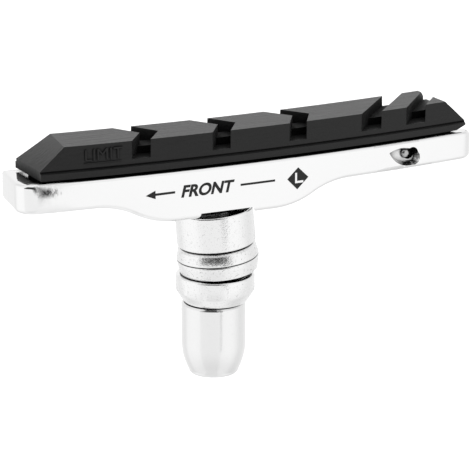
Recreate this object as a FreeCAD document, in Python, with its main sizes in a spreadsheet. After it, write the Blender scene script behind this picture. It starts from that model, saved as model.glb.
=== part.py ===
import FreeCAD, Part
import math
import os
import re

import Sketcher
from FreeCAD import Placement, Rotation, Vector

# A cartridge brake shoe for a linear pull rim brake, left side, in millimetres.
# The braking face looks up (+Z), the shoe's front end points to -X and the far side of the shoe,
# which faces the wheel's hub, is at +Y. The origin lies on the stud's axis, in the plane between
# the two dome washers where a brake arm is clamped. The shoe is curved in plan to follow the rim.

# Name, value and meaning of each driving size.
SIZES = [
    ("rim_radius", 290, "radius of the rim's braking track, along the middle of the shoe"),
    ("shoe_length", 74.7, "holder, end to end"),
    ("stud_to_front", 31.25, "stud axis to the holder's front end"),
    ("holder_width", 10.3, "holder, side to side"),
    ("holder_depth", 4.4, "thin ends of the holder, rim to underside"),
    ("boss_depth", 7.6, "holder at the stud, rim to underside"),
    ("boss_flat", 16, "level stretch of the boss under the stud"),
    ("boss_slope", 12.6, "length of each slope from the boss to the thin ends"),
    ("near_corner_radius", 2.8, "holder's upright corners on the near side"),
    ("far_corner_radius", 0.5, "holder's upright corners on the hub's side"),
    ("lower_edge_radius", 0.8, "holder's lower edges"),
    ("upper_edge_radius", 0.5, "holder's rim"),
    ("rear_rim_radius", 1.2, "holder's rim at its rear end"),
    ("channel_depth", 2.9, "channel for the rubber"),
    ("channel_mouth", 6.0, "channel's width at the rim"),
    ("channel_floor", 7.2, "channel's width at its floor"),
    ("channel_front", 3.4, "solid stretch in front of the channel"),
    ("seat_diameter", 13.3, "round seat for the spacer, under the boss"),
    ("seat_depth", 0.85, "depth of that seat"),
    ("slide_clearance", 0.1, "rubber to the channel's sides"),
    ("flange_gap", 0.34, "rubber's flange above the holder's rim"),
    ("flange_width", 9.1, "rubber's flange, side to side"),
    ("flange_top", 1.3, "upper edge of the flange above the rim"),
    ("crease_height", 1.5, "crease between flange and block above the rim"),
    ("crease_inset", 0.4, "crease inside the flange's side"),
    ("crease_rise", 0.2, "crease to the foot of the block's side"),
    ("block_base_width", 8.6, "rubber block at the foot of its side"),
    ("block_top_width", 8.3, "braking face, side to side"),
    ("block_height", 5.05, "braking face above the rim"),
    ("insert_front_gap", 2.7, "holder's front end to the rubber, along the middle"),
    ("insert_rear_gap", 1.3, "holder's rear end to the rubber's lip"),
    ("front_ramp", 4.5, "length of the front ramp, along the middle"),
    ("nose_skew", 2, "front nose from square across, near side to the rear, in degrees"),
    ("ramp_skew", 8, "upper edge of the front ramp turned the other way, in degrees"),
    ("front_nose_height", 1.75, "foot of the front ramp above the rim"),
    ("rear_ramp", 3.75, "length of the rear ramp"),
    ("rear_nose_height", 1.65, "foot of the rear ramp above the rim"),
    ("rear_undercut", 1.7, "rubber's foot behind its rear lip"),
    ("tongue_setback", 1.4, "rubber's tongue behind its front nose"),
    ("groove_width", 2.42, "drain grooves, square to their run"),
    ("groove_depth", 1.6, "drain grooves below the braking face"),
    ("arrow_angle", 33, "arrow groove's arms, from square across"),
    ("arrow_pitch", 12.43, "spacing of the arrow grooves along the shoe"),
    ("first_arrow", 12.9, "stud axis to the front arrow groove's mouth"),
    ("arrow_count", 3, "number of arrow grooves"),
    ("slant_angle", 47.5, "slanted grooves, from square across"),
    ("slant_pitch", 8.0, "spacing of the slanted grooves along the shoe"),
    ("first_slant", 24.56, "stud axis to the first slanted groove's mouth"),
    ("slant_count", 2, "number of slanted grooves"),
    ("pocket_reach", 2.7, "pocket at a groove's mouth, in from the side"),
    ("pocket_depth", 2.7, "pocket at a groove's mouth, below the braking face"),
    ("eye_place", 30.3, "stud axis to the middle of the eye shaped recess"),
    ("eye_tip_reach", 3.2, "recess's front tip, in front of its middle"),
    ("eye_tip_drop", 1.4, "front tip below the rim"),
    ("eye_rear_reach", 2.1, "recess's rear corner, behind its middle"),
    ("eye_rear_drop", 1.9, "rear corner below the rim"),
    ("eye_foot_reach", 1.1, "recess's lower corner, behind its middle"),
    ("eye_foot_drop", 3.8, "lower corner below the rim"),
    ("eye_top_bulge", 0.73, "bulge of the recess's upper lid"),
    ("eye_rear_bulge", 0.85, "bulge of its rear end"),
    ("eye_low_bulge", 0.8, "bulge of its lower lid"),
    ("eye_depth", 1.15, "recess into the holder's side"),
    ("eye_taper", 24, "slope of the recess's wall, in degrees"),
    ("window_setback", 0.75, "middle of the window into the channel, behind the pin"),
    ("window_diameter", 2.1, "window from the recess into the channel"),
    ("pin_place", 30.6, "stud axis to the retaining pin"),
    ("pin_height", 2.05, "pin below the rim"),
    ("pin_diameter", 1.4, "retaining pin"),
    ("pin_clearance", 0.05, "pin to its holes, all round"),
    ("pin_inset", 0.55, "pin's near end inside the holder's side"),
    ("pin_far_inset", 0.3, "pin's far end inside the holder's far side"),
    ("pin_tip_radius", 0.5, "rounding of the pin's near end"),
    ("stud_diameter", 6.0, "M6 stud"),
    ("stud_clearance", 0.05, "stud to the holder's and the nut's bores, all round"),
    ("stud_head_diameter", 7.0, "stud's head under the rubber"),
    ("stud_head_height", 1.1, "thickness of that head"),
    ("stud_in_nut", 6.6, "stud's reach into the nut"),
    ("stud_chamfer", 0.6, "bevel at the stud's end"),
    ("spacer_room", 0.74, "holder's seat to the spacer on the stud's axis, room for its lean"),
    ("spacer_diameter", 11.8, "thick cup spacer"),
    ("spacer_height", 5.45, "thick cup spacer, without its seat"),
    ("spacer_bore", 7.4, "spacer's bore"),
    ("dome_diameter", 12.35, "dome washers at their flat face"),
    ("crown_diameter", 11.7, "dome washers at the foot of their ball face"),
    ("upper_dome_edge", 1.6, "upper dome washer's edge, flat face to ball face"),
    ("lower_dome_edge", 2.1, "lower dome washer's edge, flat face to ball face"),
    ("dome_bore", 8.3, "dome washers' bore"),
    ("dome_radius", 9.0, "ball radius of the dome washers"),
    ("dome_clearance", 0.1, "dome to cup"),
    ("cup_diameter", 11.9, "cup washer"),
    ("cup_lip", 0.65, "flat ring round the mouth of a cup"),
    ("cup_height", 4.15, "cup washer"),
    ("cup_straight", 2.4, "upright part of the cup washer's side"),
    ("cup_foot_diameter", 9.7, "cup washer's face on the nut"),
    ("cup_bore", 6.8, "cup washer's bore"),
    ("washer_edge", 0.25, "rounding of the washers' edges"),
    ("stack_tilt", 5, "lean of the loose washers and spacer on the ball seat, in degrees"),
    ("stack_shift", 0.3, "loose pieces off the stud's axis, towards the rear"),
    ("nut_diameter", 9.7, "barrel nut"),
    ("nut_face_diameter", 7.4, "nut's raised face under the cup washer"),
    ("nut_face_height", 0.2, "height of that face"),
    ("nut_chamfer", 0.3, "bevel of the nut's upper edge"),
    ("nut_straight", 6.4, "straight part of the nut"),
    ("nut_length", 11.4, "barrel nut, end to end"),
    ("nut_end_diameter", 7.6, "nut at the end of its taper"),
    ("nut_end_radius", 0.5, "rounding of the nut's lower edge"),
    ("hex_size", 5.0, "hexagon socket across its flats"),
    ("hex_depth", 4.0, "hexagon socket"),
    ("overcut", 1.0, "reach of a cut past the piece it cuts"),
]

ALIASES = re.compile(r"\b(" + "|".join(name for name, _, _ in SIZES) + r")\b")

doc = FreeCAD.newDocument("rim_brake_pad")
sheet = doc.addObject("Spreadsheet::Sheet", "Sizes")
for row, (name, size, meaning) in enumerate(SIZES, start=1):
    sheet.set(f"A{row}", name)
    sheet.set(f"B{row}", str(size))
    sheet.setAlias(f"B{row}", name)
    sheet.set(f"C{row}", meaning)
doc.recompute()


def formula(text):
    """A size formula with each name made a reference to the sheet."""
    return ALIASES.sub(r"Sizes.\1", text)


def value(text):
    result = sheet.evalExpression(formula(text))
    return float(getattr(result, "Value", result))


def bind(item, **formulas):
    """Tie properties of an object to size formulas; two underlines in a name stand for a dot."""
    for path, text in formulas.items():
        item.setExpression(path.replace("__", "."), formula(text))


def origin_item(body, role):
    """One of a body's own planes or axes."""
    return next(item for item in body.Origin.OriginFeatures if item.Role == role)


def new_body(label):
    body = doc.addObject("PartDesign::Body", label)
    body.Label = label
    return body


def new_sketch(body, role, label):
    sketch = body.newObject("Sketcher::SketchObject", label)
    sketch.AttachmentSupport = [(origin_item(body, role), "")]
    sketch.MapMode = "FlatFace"
    return sketch


def pin_point(sketch, edge, end, corner):
    """Hold one end of a sketch edge at a corner given by two formulas."""
    for kind, axis, text in (("DistanceX", -2, corner[0]), ("DistanceY", -1, corner[1])):
        place = value(text)
        if abs(place) < 1e-9:
            sketch.addConstraint(Sketcher.Constraint("PointOnObject", edge, end, axis))
            continue
        index = sketch.addConstraint(Sketcher.Constraint(kind, -1, 1, edge, end, place))
        sketch.setExpression(f"Constraints[{index}]", formula(text))


def draw_outline(sketch, corners, bends=None):
    """Closed outline through corners given by formulas.

    bends holds, for the edge that leaves a corner, the radius formula of an arc and the side
    it bulges to, seen along the outline.
    """
    bends = bends or {}
    points = [Vector(value(x), value(y), 0) for x, y in corners]
    joins = []
    for index, start in enumerate(points):
        end = points[(index + 1) % len(points)]
        if index not in bends:
            edge = sketch.addGeometry(Part.LineSegment(start, end), False)
            joins.append((edge, 1, 2))
            continue
        radius_text, side = bends[index]
        radius = value(radius_text)
        middle = (start + end) / 2
        left = Vector(start.y - end.y, end.x - start.x, 0).normalize()
        rise = math.sqrt(radius**2 - (start - middle).Length ** 2)
        centre = middle - left * rise if side == "left" else middle + left * rise
        first, last = (end, start) if side == "left" else (start, end)
        from_angle = math.atan2(first.y - centre.y, first.x - centre.x)
        to_angle = math.atan2(last.y - centre.y, last.x - centre.x)
        if to_angle < from_angle:
            to_angle += 2 * math.pi
        circle = Part.Circle(centre, Vector(0, 0, 1), radius)
        edge = sketch.addGeometry(Part.ArcOfCircle(circle, from_angle, to_angle), False)
        joins.append((edge, 2, 1) if side == "left" else (edge, 1, 2))
        bend = sketch.addConstraint(Sketcher.Constraint("Radius", edge, radius))
        sketch.setExpression(f"Constraints[{bend}]", formula(radius_text))
    for index, (edge, start, end) in enumerate(joins):
        following, next_start, _ = joins[(index + 1) % len(joins)]
        sketch.addConstraint(Sketcher.Constraint("Coincident", edge, end, following, next_start))
    for (edge, start, _), corner in zip(joins, corners):
        pin_point(sketch, edge, start, corner)


def draw_circle(sketch, centre, diameter):
    place = Vector(value(centre[0]), value(centre[1]), 0)
    radius = value(diameter) / 2
    edge = sketch.addGeometry(Part.Circle(place, Vector(0, 0, 1), radius), False)
    pin_point(sketch, edge, 3, centre)
    size = sketch.addConstraint(Sketcher.Constraint("Diameter", edge, 2 * radius))
    sketch.setExpression(f"Constraints[{size}]", formula(diameter))


def feature(body, kind, label, sketch=None):
    item = body.newObject(f"PartDesign::{kind}", label)
    if sketch is not None:
        item.Profile = sketch
    return item


def check_cut(body, before):
    """A cut has to take something away."""
    doc.recompute()
    if body.Shape.Volume > before - 1e-3:
        raise RuntimeError(f"a cut in {body.Label} removed nothing")
    return body.Shape.Volume


# The arc's centre lies on the hub's side. In the bodies of the holder and the rubber the origin
# is that centre, so their sections turn round the body's own upright axis.
ARC_MIDDLE = "(shoe_length / 2 - stud_to_front)"
HUB_DISTANCE = f"sqrt(rim_radius ^ 2 - {ARC_MIDDLE} ^ 2)"
END_DISTANCE = "sqrt(rim_radius ^ 2 - (shoe_length / 2) ^ 2)"

# Levels of the stack from the holder's seat downwards. Like the sizes, they count from the
# holder's rim, and each body is then lifted so that the brake arm's clamp plane, where the two
# dome washers meet, comes to the origin.
SEAT_RADIUS = "(dome_radius + dome_clearance)"
DOME_RISE = "sqrt(dome_radius ^ 2 - (crown_diameter / 2) ^ 2)"
SPACER_SEAT_RISE = f"sqrt({SEAT_RADIUS} ^ 2 - (spacer_diameter / 2 - cup_lip) ^ 2)"
CUP_SEAT_RISE = f"sqrt({SEAT_RADIUS} ^ 2 - (cup_diameter / 2 - cup_lip) ^ 2)"
SPACER_TOP = "(seat_depth - boss_depth - spacer_room)"
SPACER_FOOT = f"({SPACER_TOP} - spacer_height)"
UPPER_BALL = f"({SPACER_FOOT} - {SPACER_SEAT_RISE})"
DOME_FACE = f"({UPPER_BALL} + {DOME_RISE} - upper_dome_edge)"
LOWER_BALL = f"({DOME_FACE} - lower_dome_edge + {DOME_RISE})"
CUP_RIM = f"({LOWER_BALL} - {CUP_SEAT_RISE})"
NUT_FACE = f"({CUP_RIM} - cup_height)"
LIFT = f"(-1 * {DOME_FACE})"


def along(place):
    """Turn, in degrees, from the shoe's middle to a place measured from the stud towards the rear."""
    return f"asin(({place} - {ARC_MIDDLE}) / rim_radius)"


def seat_on_arc(body):
    bind(
        body,
        Placement__Base__x=ARC_MIDDLE,
        Placement__Base__y=HUB_DISTANCE,
        Placement__Base__z=LIFT,
    )


def seat_on_stud(body):
    bind(body, Placement__Base__z=LIFT)


def turned_sketch(body, role, label, turn, lift="0"):
    """Sketch turned round the hub axis, on the upright side plane or, lifted, on the level one."""
    sketch = new_sketch(body, role, label)
    if role == "XY_Plane":
        sketch.AttachmentOffset = Placement(Vector(), Rotation(Vector(0, 0, 1), 1))
        bind(sketch, AttachmentOffset__Rotation__Angle=turn, AttachmentOffset__Base__z=lift)
        return sketch
    sketch.AttachmentOffset = Placement(Vector(), Rotation(Vector(0, 1, 0), 1))
    bind(
        sketch,
        AttachmentOffset__Rotation__Angle=turn,
        AttachmentOffset__Base__x=f"({lift}) * sin({turn})",
        AttachmentOffset__Base__z=f"({lift}) * cos({turn})",
    )
    return sketch


def sweep_angles(item, front, rear):
    """Sweep a section from a front place to a rear place along the arc."""
    item.ReferenceAxis = (item.Profile[0], ["V_Axis"])
    item.Type = "TwoAngles"
    bind(item, Angle=along(rear), Angle2=f"-{along(front)}")


# Holder

def holder_blank():
    """The cast shoe before its channel: a bar bent to the rim, with its underside shaped."""
    body = new_body("holder_blank")
    section = new_sketch(body, "YZ_Plane", "holder_section")
    near, far = "-rim_radius - holder_width / 2", "-rim_radius + holder_width / 2"
    draw_outline(section, [(near, "0"), (near, "-boss_depth"), (far, "-boss_depth"), (far, "0")])
    bar = feature(body, "Revolution", "holder_bar", section)
    sweep_angles(bar, "-stud_to_front", "shoe_length - stud_to_front")
    doc.recompute()
    before = body.Shape.Volume

    side = new_sketch(body, "XZ_Plane", "underside")
    drop = "(boss_depth - holder_depth)"
    bend = f"((boss_slope ^ 2 + {drop} ^ 2) / (4 * {drop}))"
    middle_level = "-(boss_depth + holder_depth) / 2"
    beyond = "shoe_length"

    def reach(sign, length):
        return f"-{ARC_MIDDLE} {sign} ({length})"

    draw_outline(
        side,
        [
            (f"-{beyond}", "-holder_depth"),
            (reach("-", "boss_flat / 2 + boss_slope"), "-holder_depth"),
            (reach("-", "boss_flat / 2 + boss_slope / 2"), middle_level),
            (reach("-", "boss_flat / 2"), "-boss_depth"),
            (reach("+", "boss_flat / 2"), "-boss_depth"),
            (reach("+", "boss_flat / 2 + boss_slope / 2"), middle_level),
            (reach("+", "boss_flat / 2 + boss_slope"), "-holder_depth"),
            (beyond, "-holder_depth"),
            (beyond, "-2 * boss_depth"),
            (f"-{beyond}", "-2 * boss_depth"),
        ],
        {1: (bend, "left"), 2: (bend, "right"), 4: (bend, "right"), 5: (bend, "left")},
    )
    cut = feature(body, "Pocket", "underside_cut", side)
    cut.Type = "ThroughAll"
    cut.SideType = "Symmetric"
    check_cut(body, before)
    return body


def is_fold(box):
    """A fold of the underside runs straight across the casting."""
    return box.XLength < 0.01 and box.YLength > value("holder_width") / 2


def rounded_holder(blank):
    """Round the casting's edges: near corners, far corners, lower edges and rim differ."""
    near, far, lower, upper, rear = [], [], [], [], []
    reach = value(f"rim_radius * cos({along('shoe_length - stud_to_front')})")
    for number, edge in enumerate(blank.Shape.Edges, start=1):
        box = edge.BoundBox
        middle = edge.valueAt((edge.FirstParameter + edge.LastParameter) / 2)
        if box.ZLength > 1 and max(box.XLength, box.YLength) < 0.01:
            (near if -middle.y > reach else far).append(number)
        elif abs(middle.z) < 0.01:
            at_rear = middle.x > value("shoe_length") * 0.45 and not box.XLength > box.YLength
            (rear if at_rear else upper).append(number)
        elif not is_fold(box):
            lower.append(number)
    rounds = doc.addObject("Part::Fillet", "holder_rounds")
    rounds.Base = blank
    radii = (
        (near, "near_corner_radius"),
        (far, "far_corner_radius"),
        (lower, "lower_edge_radius"),
        (upper, "upper_edge_radius"),
        (rear, "rear_rim_radius"),
    )
    rounds.Edges = [(n, value(size), value(size)) for group, size in radii for n in group]
    doc.recompute()
    return rounds


def make_holder():
    rounds = rounded_holder(holder_blank())
    body = new_body("holder")
    body.BaseFeature = rounds
    doc.recompute()
    volume = cut_channel(body, body.Shape.Volume)
    volume = cut_stud_seat(body, volume)
    cut_recess(body, volume)
    seat_on_arc(body)
    return body


def cut_channel(body, volume):
    """Dovetail channel, closed at the front and open at the rear."""
    section = new_sketch(body, "YZ_Plane", "channel_section")
    above = "upper_edge_radius"
    draw_outline(
        section,
        [
            ("-rim_radius - channel_mouth / 2", above),
            ("-rim_radius - channel_mouth / 2", "0"),
            ("-rim_radius - channel_floor / 2", "-channel_depth"),
            ("-rim_radius + channel_floor / 2", "-channel_depth"),
            ("-rim_radius + channel_mouth / 2", "0"),
            ("-rim_radius + channel_mouth / 2", above),
        ],
    )
    channel = feature(body, "Groove", "channel", section)
    sweep_angles(channel, "(channel_front - stud_to_front)", "(shoe_length - stud_to_front + overcut)")
    return check_cut(body, volume)


def cut_round(body, label, diameter, top, volume):
    """Round cut round the stud's axis, from below up to the level top."""
    sketch = new_sketch(body, "XY_Plane", f"{label}_circle")
    bind(sketch, AttachmentOffset__Base__z=top)
    draw_circle(sketch, (f"-{ARC_MIDDLE}", f"-{HUB_DISTANCE}"), diameter)
    cut = feature(body, "Pocket", label, sketch)
    cut.Type = "ThroughAll"
    return check_cut(body, volume)


def cut_stud_seat(body, volume):
    volume = cut_round(body, "spacer_seat", "seat_diameter", "-boss_depth + seat_depth", volume)
    volume = cut_round(body, "stud_bore", "stud_diameter + 2 * stud_clearance", "0", volume)
    sketch = new_sketch(body, "XY_Plane", "stud_head_circle")
    draw_circle(
        sketch, (f"-{ARC_MIDDLE}", f"-{HUB_DISTANCE}"), "stud_head_diameter + 2 * stud_clearance"
    )
    head = feature(body, "Pocket", "stud_head_seat", sketch)
    bind(head, Length="channel_depth + stud_head_height")
    return check_cut(body, volume)


def bend_radius(start, end, bulge):
    """Radius of an arc between two corners that bulges out from the straight line by a height."""
    square = f"((({end[0]}) - ({start[0]})) ^ 2 + (({end[1]}) - ({start[1]})) ^ 2)"
    return f"(({square} / 4 + {bulge} ^ 2) / (2 * {bulge}))"


def side_sketch(body, label, place):
    """Sketch on the holder's near side, square to it at a place along the shoe."""
    return turned_sketch(body, "XZ_Plane", label, along(place), "rim_radius + holder_width / 2")


def cut_recess(body, volume):
    """Eye shaped recess with a window into the channel, and the pin's cross hole."""
    eye = side_sketch(body, "eye_outline", "eye_place")
    tip = ("-eye_tip_reach", "-eye_tip_drop")
    foot = ("eye_foot_reach", "-eye_foot_drop")
    rear = ("eye_rear_reach", "-eye_rear_drop")
    lids = {
        0: (bend_radius(tip, foot, "eye_low_bulge"), "right"),
        1: (bend_radius(foot, rear, "eye_rear_bulge"), "right"),
        2: (bend_radius(rear, tip, "eye_top_bulge"), "right"),
    }
    draw_outline(eye, [tip, foot, rear], lids)
    recess = feature(body, "Pocket", "eye_recess", eye)
    bind(recess, Length="eye_depth", TaperAngle="-eye_taper")
    volume = check_cut(body, volume)

    holes = (
        ("pin_window", "window_setback", "window_diameter", "(holder_width - channel_mouth) / 2"),
        ("pin_hole", "0", "pin_diameter + 2 * pin_clearance", "holder_width + overcut"),
    )
    for label, setback, diameter, length in holes:
        sketch = side_sketch(body, f"{label}_circle", "pin_place")
        draw_circle(sketch, (setback, "-pin_height"), diameter)
        hole = feature(body, "Pocket", label, sketch)
        bind(hole, Length=length)
        volume = check_cut(body, volume)
    return volume


# Rubber insert

REAR_LIP = "(shoe_length - stud_to_front - insert_rear_gap)"


def make_insert():
    body = new_body("insert")
    section = new_sketch(body, "YZ_Plane", "rubber_section")
    half_section = [
        ("channel_floor / 2 - slide_clearance", "-channel_depth"),
        ("channel_mouth / 2 - slide_clearance", "0"),
        ("channel_mouth / 2 - slide_clearance", "flange_gap"),
        ("flange_width / 2", "flange_gap"),
        ("flange_width / 2", "flange_top"),
        ("flange_width / 2 - crease_inset", "crease_height"),
        ("block_base_width / 2", "crease_height + crease_rise"),
        ("block_top_width / 2", "block_height"),
    ]
    near = [(f"-rim_radius - ({y})", z) for y, z in half_section]
    far = [(f"-rim_radius + ({y})", z) for y, z in reversed(half_section)]
    draw_outline(section, near + far)
    bar = feature(body, "Revolution", "rubber_bar", section)
    sweep_angles(bar, "(-stud_to_front)", REAR_LIP)
    doc.recompute()
    volume = trim_front(body, body.Shape.Volume)
    volume = trim_rear(body, volume)
    volume = cut_grooves(body, volume)
    cut_pin_hole(body)
    check_cut(body, volume)
    seat_on_arc(body)
    return body


def trim_front(body, volume):
    """Skewed ramp and nose, and the shorter tongue: a cut lofted from the near side to the far."""
    sides = []
    for label, sign in (("near_front", "+"), ("far_front", "-")):
        sketch = new_sketch(body, "XZ_Plane", label)
        bind(sketch, AttachmentOffset__Base__z=f"{END_DISTANCE} {sign} 0.6 * holder_width")
        nose = f"(-shoe_length / 2 + insert_front_gap {sign} 0.6 * holder_width * tan(nose_skew))"
        turned = "-" if sign == "+" else "+"
        ramp_top = (
            f"(-shoe_length / 2 + insert_front_gap + front_ramp"
            f" {turned} 0.6 * holder_width * tan(ramp_skew))"
        )
        draw_outline(
            sketch,
            [
                (f"{nose} + tongue_setback", "-2 * channel_depth"),
                (f"{nose} + tongue_setback", "flange_gap"),
                (nose, "flange_gap"),
                (nose, "front_nose_height"),
                (ramp_top, "block_height"),
                (ramp_top, "2 * block_height"),
                ("-shoe_length", "2 * block_height"),
                ("-shoe_length", "-2 * channel_depth"),
            ],
        )
        sides.append(sketch)
    cut = feature(body, "SubtractiveLoft", "front_trim", sides[0])
    cut.Sections = [sides[1]]
    cut.Ruled = True
    return check_cut(body, volume)


def trim_rear(body, volume):
    """Rear ramp and the rear lip's undercut."""
    side = new_sketch(body, "XZ_Plane", "rubber_rear")
    rear = f"({REAR_LIP} - {ARC_MIDDLE})"
    draw_outline(
        side,
        [
            (f"{rear} - rear_undercut", "-2 * channel_depth"),
            ("shoe_length", "-2 * channel_depth"),
            ("shoe_length", "2 * block_height"),
            (f"{rear} - rear_ramp", "2 * block_height"),
            (f"{rear} - rear_ramp", "block_height"),
            (rear, "rear_nose_height"),
            (rear, "(flange_gap + rear_nose_height) / 2"),
            (f"{rear} - rear_undercut", "flange_gap"),
        ],
    )
    cut = feature(body, "Pocket", "rear_trim", side)
    cut.Type = "ThroughAll"
    cut.SideType = "Symmetric"
    return check_cut(body, volume)


def groove_lines(lean, inner, outer, middle, width):
    """Corners of a leaning strip between two distances from the rim's centre line.

    Distances count from the rim's track towards the hub, so the near side is negative.
    """
    run = f"tan({lean})"
    half = f"({width}) / (2 * cos({lean}))"

    def corner(side, distance):
        return f"({distance} - ({middle})) * {run} {side} {half}", f"-rim_radius + ({distance})"

    return [corner("-", inner), corner("+", inner), corner("+", outer), corner("-", outer)]


def cut_grooves(body, volume):
    """Arrow grooves and slanted grooves, each with a deeper pocket at its two mouths."""
    side = "(block_top_width / 2)"
    over = "(flange_width / 2 + overcut)"
    inner = f"({side} - pocket_reach)"
    near_arm = groove_lines("arrow_angle", f"-{over}", "0", f"-{side}", "groove_width")
    far_arm = groove_lines("-arrow_angle", "0", over, side, "groove_width")
    arrow = [near_arm[0], near_arm[1], near_arm[2], far_arm[2], far_arm[3], near_arm[3]]
    arrow_mouths = [
        groove_lines("arrow_angle", f"-{over}", f"-{inner}", f"-{side}", "groove_width"),
        groove_lines("-arrow_angle", inner, over, side, "groove_width"),
    ]
    slant = groove_lines("slant_angle", f"-{over}", over, f"-{side}", "groove_width")
    slant_mouths = [
        groove_lines("slant_angle", f"-{over}", f"-{inner}", f"-{side}", "groove_width"),
    ]
    rows = (
        ("arrow", [arrow], arrow_mouths, along("-first_arrow"), "arrow_pitch", "arrow_count"),
        ("slant", [slant], slant_mouths, along("first_slant"), "slant_pitch", "slant_count"),
    )
    for name, grooves, mouths, turn, pitch, count in rows:
        cuts = []
        for part, outlines, depth in (
            ("groove", grooves, "groove_depth"),
            ("mouth", mouths, "pocket_depth"),
        ):
            label = f"{name}_{part}"
            sketch = turned_sketch(body, "XY_Plane", f"{label}_plan", turn, "block_height")
            for outline in outlines:
                draw_outline(sketch, outline)
            cut = feature(body, "Pocket", label, sketch)
            bind(cut, Length=depth)
            volume = check_cut(body, volume)
            cuts.append(cut)
        row = feature(body, "PolarPattern", f"{name}_row")
        row.Originals = cuts
        row.Axis = (origin_item(body, "Z_Axis"), [""])
        bind(row, Occurrences=count, Angle=f"({pitch} / rim_radius) * (180 / pi) * ({count} - 1)")
        body.Tip = row
        volume = check_cut(body, volume)
    return volume


def cut_pin_hole(body):
    sketch = side_sketch(body, "tongue_hole_circle", "pin_place")
    draw_circle(sketch, ("0", "-pin_height"), "pin_diameter + 2 * pin_clearance")
    hole = feature(body, "Pocket", "tongue_hole", sketch)
    hole.Type = "ThroughAll"


# Turned parts: each is an outline in the plane of its axis, turned once round

def turn_part(label, corners, bends=None):
    body = new_body(label)
    section = new_sketch(body, "XZ_Plane", f"{label}_section")
    draw_outline(section, corners, bends)
    turned = feature(body, "Revolution", f"{label}_turned", section)
    turned.ReferenceAxis = (section, ["V_Axis"])
    turned.Angle = 360
    doc.recompute()
    return body


def make_retaining_pin():
    """Straight pin across the shoe, square to its near side, with a rounded near end."""
    near_end = "rim_radius + holder_width / 2 - pin_inset"
    far_end = "rim_radius - holder_width / 2 + pin_far_inset"
    body = new_body("retaining_pin")
    section = turned_sketch(body, "XZ_Plane", "pin_circle", along("pin_place"), near_end)
    draw_circle(section, ("0", "-pin_height"), "pin_diameter")
    shank = feature(body, "Pad", "pin_shank", section)
    shank.Reversed = True
    bind(shank, Length=f"({near_end}) - ({far_end})")
    doc.recompute()
    rings = [n for n, edge in enumerate(body.Shape.Edges, start=1) if edge.Closed]
    nearest = min(rings, key=lambda n: body.Shape.Edges[n - 1].CenterOfMass.y)
    tip = feature(body, "Fillet", "pin_tip")
    tip.Base = (shank, [f"Edge{nearest}"])
    bind(tip, Radius="pin_tip_radius")
    seat_on_arc(body)
    return body


def make_stud():
    """M6 stud: a flat head under the rubber, a plain shank through the boss and down the stack."""
    head_top = "-channel_depth"
    head_foot = "-channel_depth - stud_head_height"
    end = f"({NUT_FACE} - stud_in_nut)"
    radius = "stud_diameter / 2"
    body = turn_part(
        "stud",
        [
            ("0", head_top),
            ("stud_head_diameter / 2", head_top),
            ("stud_head_diameter / 2", head_foot),
            (radius, head_foot),
            (radius, f"{end} + stud_chamfer"),
            (f"{radius} - stud_chamfer", end),
            ("0", end),
        ],
    )
    seat_on_stud(body)
    return body


def lean_stack(body):
    """Lean a loose piece about the centre of the lower ball seat, rear side up."""
    body.Placement = Placement(Vector(), Rotation(Vector(0, -1, 0), 1))
    bind(
        body,
        Placement__Rotation__Angle="stack_tilt",
        Placement__Base__x=f"{LOWER_BALL} * sin(stack_tilt) + stack_shift",
        Placement__Base__z=f"{LIFT} + {LOWER_BALL} * (1 - cos(stack_tilt))",
    )


def make_dome_washer(label, ball, edge, up):
    """Flat face in the clamp plane and a ball face above it, or below it if not up."""
    outer, crown, bore = "dome_diameter / 2", "crown_diameter / 2", "dome_bore / 2"
    sign, bulge = ("+", "right") if up else ("-", "left")
    body = turn_part(
        label,
        [
            (bore, DOME_FACE),
            (f"{outer} - washer_edge", DOME_FACE),
            (outer, f"{DOME_FACE} {sign} washer_edge"),
            (crown, f"{DOME_FACE} {sign} {edge}"),
            (bore, f"{ball} {sign} sqrt(dome_radius ^ 2 - ({bore}) ^ 2)"),
        ],
        {1: ("washer_edge", bulge), 3: ("dome_radius", bulge)},
    )
    lean_stack(body)
    return body


def make_cup_spacer():
    outer, bore = "spacer_diameter / 2", "spacer_bore / 2"
    body = turn_part(
        "cup_spacer",
        [
            (bore, f"{UPPER_BALL} + sqrt({SEAT_RADIUS} ^ 2 - ({bore}) ^ 2)"),
            (f"{outer} - cup_lip", SPACER_FOOT),
            (f"{outer} - washer_edge", SPACER_FOOT),
            (outer, f"{SPACER_FOOT} + washer_edge"),
            (outer, f"{SPACER_TOP} - washer_edge"),
            (f"{outer} - washer_edge", SPACER_TOP),
            (bore, SPACER_TOP),
        ],
        {0: (SEAT_RADIUS, "left"), 2: ("washer_edge", "right"), 4: ("washer_edge", "right")},
    )
    lean_stack(body)
    return body


def make_cup_washer():
    outer, bore = "cup_diameter / 2", "cup_bore / 2"
    body = turn_part(
        "cup_washer",
        [
            (bore, NUT_FACE),
            ("cup_foot_diameter / 2", NUT_FACE),
            (outer, f"{CUP_RIM} - cup_straight"),
            (outer, f"{CUP_RIM} - washer_edge"),
            (f"{outer} - washer_edge", CUP_RIM),
            (f"{outer} - cup_lip", CUP_RIM),
            (bore, f"{LOWER_BALL} - sqrt({SEAT_RADIUS} ^ 2 - ({bore}) ^ 2)"),
        ],
        {3: ("washer_edge", "right"), 5: (SEAT_RADIUS, "left")},
    )
    seat_on_stud(body)
    bind(body, Placement__Base__x="stack_shift")
    return body


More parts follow.
